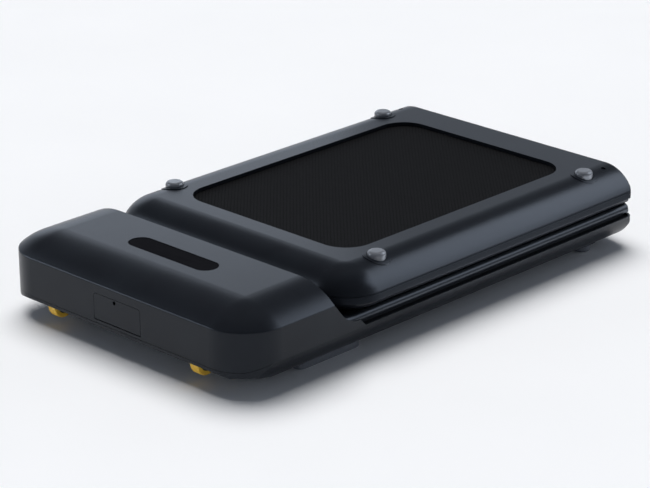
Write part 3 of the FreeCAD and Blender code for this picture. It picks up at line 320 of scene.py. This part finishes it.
def belt_bend(name, node, depth, turn_y, bend):
    """The belt from one lead round to the other."""
    low, high = FOLD_Z - depth, FOLD_Z + depth
    bm, edges = strip_start(turn_y, low)
    edges = sweep_quarter(bm, edges, (0, turn_y, low + bend))
    if depth > bend:
        edges = sweep_straight(bm, edges, (0, 0, high - low - 2 * bend), RISE_STEPS)
    sweep_quarter(bm, edges, (0, turn_y, high - bend))
    bmesh.ops.remove_doubles(bm, verts=bm.verts, dist=MERGE)
    bmesh.ops.recalc_face_normals(bm, faces=bm.faces)
    bmesh.ops.solidify(bm, geom=bm.faces[:], thickness=BELT_THICKNESS)
    piece = belt_piece(bm, name, "front_half")
    for polygon in piece.data.polygons:
        polygon.use_smooth = True
    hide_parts(node)
    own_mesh(piece)


for run, depth, turn_y in (("outer", OUTER_DEPTH, OUTER_TURN_Y), ("inner", INNER_DEPTH, PIVOT_Y)):
    belt_lead("belt_lead_front_" + run, "front_half", -1, depth, turn_y)
    belt_lead("belt_lead_rear_" + run, "rear_half", 1, depth, turn_y)
belt_bend("belt_bend_outer", "belt_fold_outer", OUTER_DEPTH, OUTER_TURN_Y, OUTER_BEND)
belt_bend("belt_bend_inner", "belt_fold_inner", INNER_DEPTH, PIVOT_Y, INNER_DEPTH)


# Floor, a hair below the feet so that the two don't flicker
FLOOR_HALF = 25.0
FLOOR_DROP = 0.2 * MM
bm = bmesh.new()
bmesh.ops.create_grid(bm, x_segments=1, y_segments=1, size=FLOOR_HALF)
bmesh.ops.translate(bm, verts=bm.verts, vec=(0, 0, -FLOOR_DROP))
floor_mesh = bpy.data.meshes.new("studio_floor")
bm.to_mesh(floor_mesh)
bm.free()
floor_mesh.materials.append(painted_floor())
floor = bpy.data.objects.new("studio_floor", floor_mesh)
bpy.context.scene.collection.objects.link(floor)

# The studio is a pale tent, bright along its walls, darker overhead and dimmer towards the camera
TENT_TINT = "#dde7f6"
TOWARDS_CAMERA = (0.7, -0.714, 0.0)
WALL_LEVEL, ROOF_LEVEL = 0.78, 0.1
OPENING_SHARE = 0.55
world = bpy.data.worlds.new("studio_tent")
bpy.context.scene.world = world
world.use_nodes = True
tent = world.node_tree
tent.nodes.clear()
toward = add(tent, "ShaderNodeTexCoord").outputs["Generated"]
height = add(tent, "ShaderNodeSeparateXYZ", {"Vector": toward}).outputs["Z"]
wall = add(tent, "ShaderNodeMapRange", {"Value": height, "From Min": 0.3, "From Max": 0.55, "To Min": WALL_LEVEL,
                                        "To Max": ROOF_LEVEL}, interpolation_type="SMOOTHSTEP").outputs["Result"]
facing = add(tent, "ShaderNodeVectorMath", {0: toward, 1: TOWARDS_CAMERA}, operation="DOT_PRODUCT").outputs["Value"]
opening = add(tent, "ShaderNodeMapRange", {"Value": facing, "From Min": 0.0, "From Max": 0.8, "To Min": 1.0,
                                           "To Max": OPENING_SHARE},
              interpolation_type="SMOOTHSTEP").outputs["Result"]
level = add(tent, "ShaderNodeMath", {0: wall, 1: opening}, operation="MULTIPLY").outputs["Value"]
sky = add(tent, "ShaderNodeBackground", {"Color": linear(TENT_TINT), "Strength": level})
add(tent, "ShaderNodeOutputWorld", {"Surface": sky.outputs["Background"]})

# A broad soft key from overhead, which lights the surfaces without showing in them
KEY_FROM = Vector((-0.35, 0.25, 1.0))
key_light = bpy.data.lights.new("overhead_key", "SUN")
key_light.energy = 2.8
key_light.angle = math.radians(50)
key = bpy.data.objects.new("overhead_key", key_light)
key.rotation_euler = KEY_FROM.to_track_quat("Z", "Y").to_euler()
key.visible_glossy = False
bpy.context.scene.collection.objects.link(key)


def reflected_card(name, place, looks_at, width, height, glow):
    """A lit card that only shows in glossy surfaces, where it draws their highlights."""
    light = bpy.data.lights.new(name, "AREA")
    light.shape = "RECTANGLE"
    light.color = linear(TENT_TINT)[:3]
    light.size = width
    light.size_y = height
    light.energy = 4 * width * height * glow
    card = bpy.data.objects.new(name, light)
    card.location = place
    card.rotation_euler = (Vector(place) - Vector(looks_at)).to_track_quat("Z", "Y").to_euler()
    card.visible_diffuse = False
    card.visible_camera = False
    bpy.context.scene.collection.objects.link(card)


# In the tops, along the hood's front edge, in the rounded right side and in the upright right side
reflected_card("left_card", (-1.23, 0.61, 0.58), (0.0, 0.0, 0.2), width=1.05, height=0.55, glow=0.8)
reflected_card("front_card", (-1.44, -1.42, 0.87), (-0.1, -0.43, 0.1), width=1.2, height=0.8, glow=4.0)
reflected_card("right_card", (1.2, 1.85, 1.55), (0.2, 0.1, 0.1), width=2.0, height=1.7, glow=4.2)
reflected_card("floor_card", (0.62, 0.5, 0.002), (0.62, 0.5, 1.0), width=0.66, height=1.0, glow=2.5)

# The camera at the photo's angle
AZIMUTH, ELEVATION, ROLL = math.radians(44.532), math.radians(21.224), math.radians(-0.488)
LOOKS_AT = Vector((0.02382, -0.03436, 0.06687))
DISTANCE = 4.05035
back = Vector((math.sin(AZIMUTH) * math.cos(ELEVATION), -math.cos(AZIMUTH) * math.cos(ELEVATION),
               math.sin(ELEVATION)))
camera_data = bpy.data.cameras.new("photo_camera")
camera_data.sensor_width = 36.0
camera_data.lens = 149.546
camera = bpy.data.objects.new("photo_camera", camera_data)
camera.location = LOOKS_AT + back * DISTANCE
camera.rotation_euler = (Quaternion(back, ROLL) @ back.to_track_quat("Z", "Y")).to_euler()
bpy.context.scene.collection.objects.link(camera)
bpy.context.scene.camera = camera
bpy.context.scene.view_settings.view_transform = "Standard"
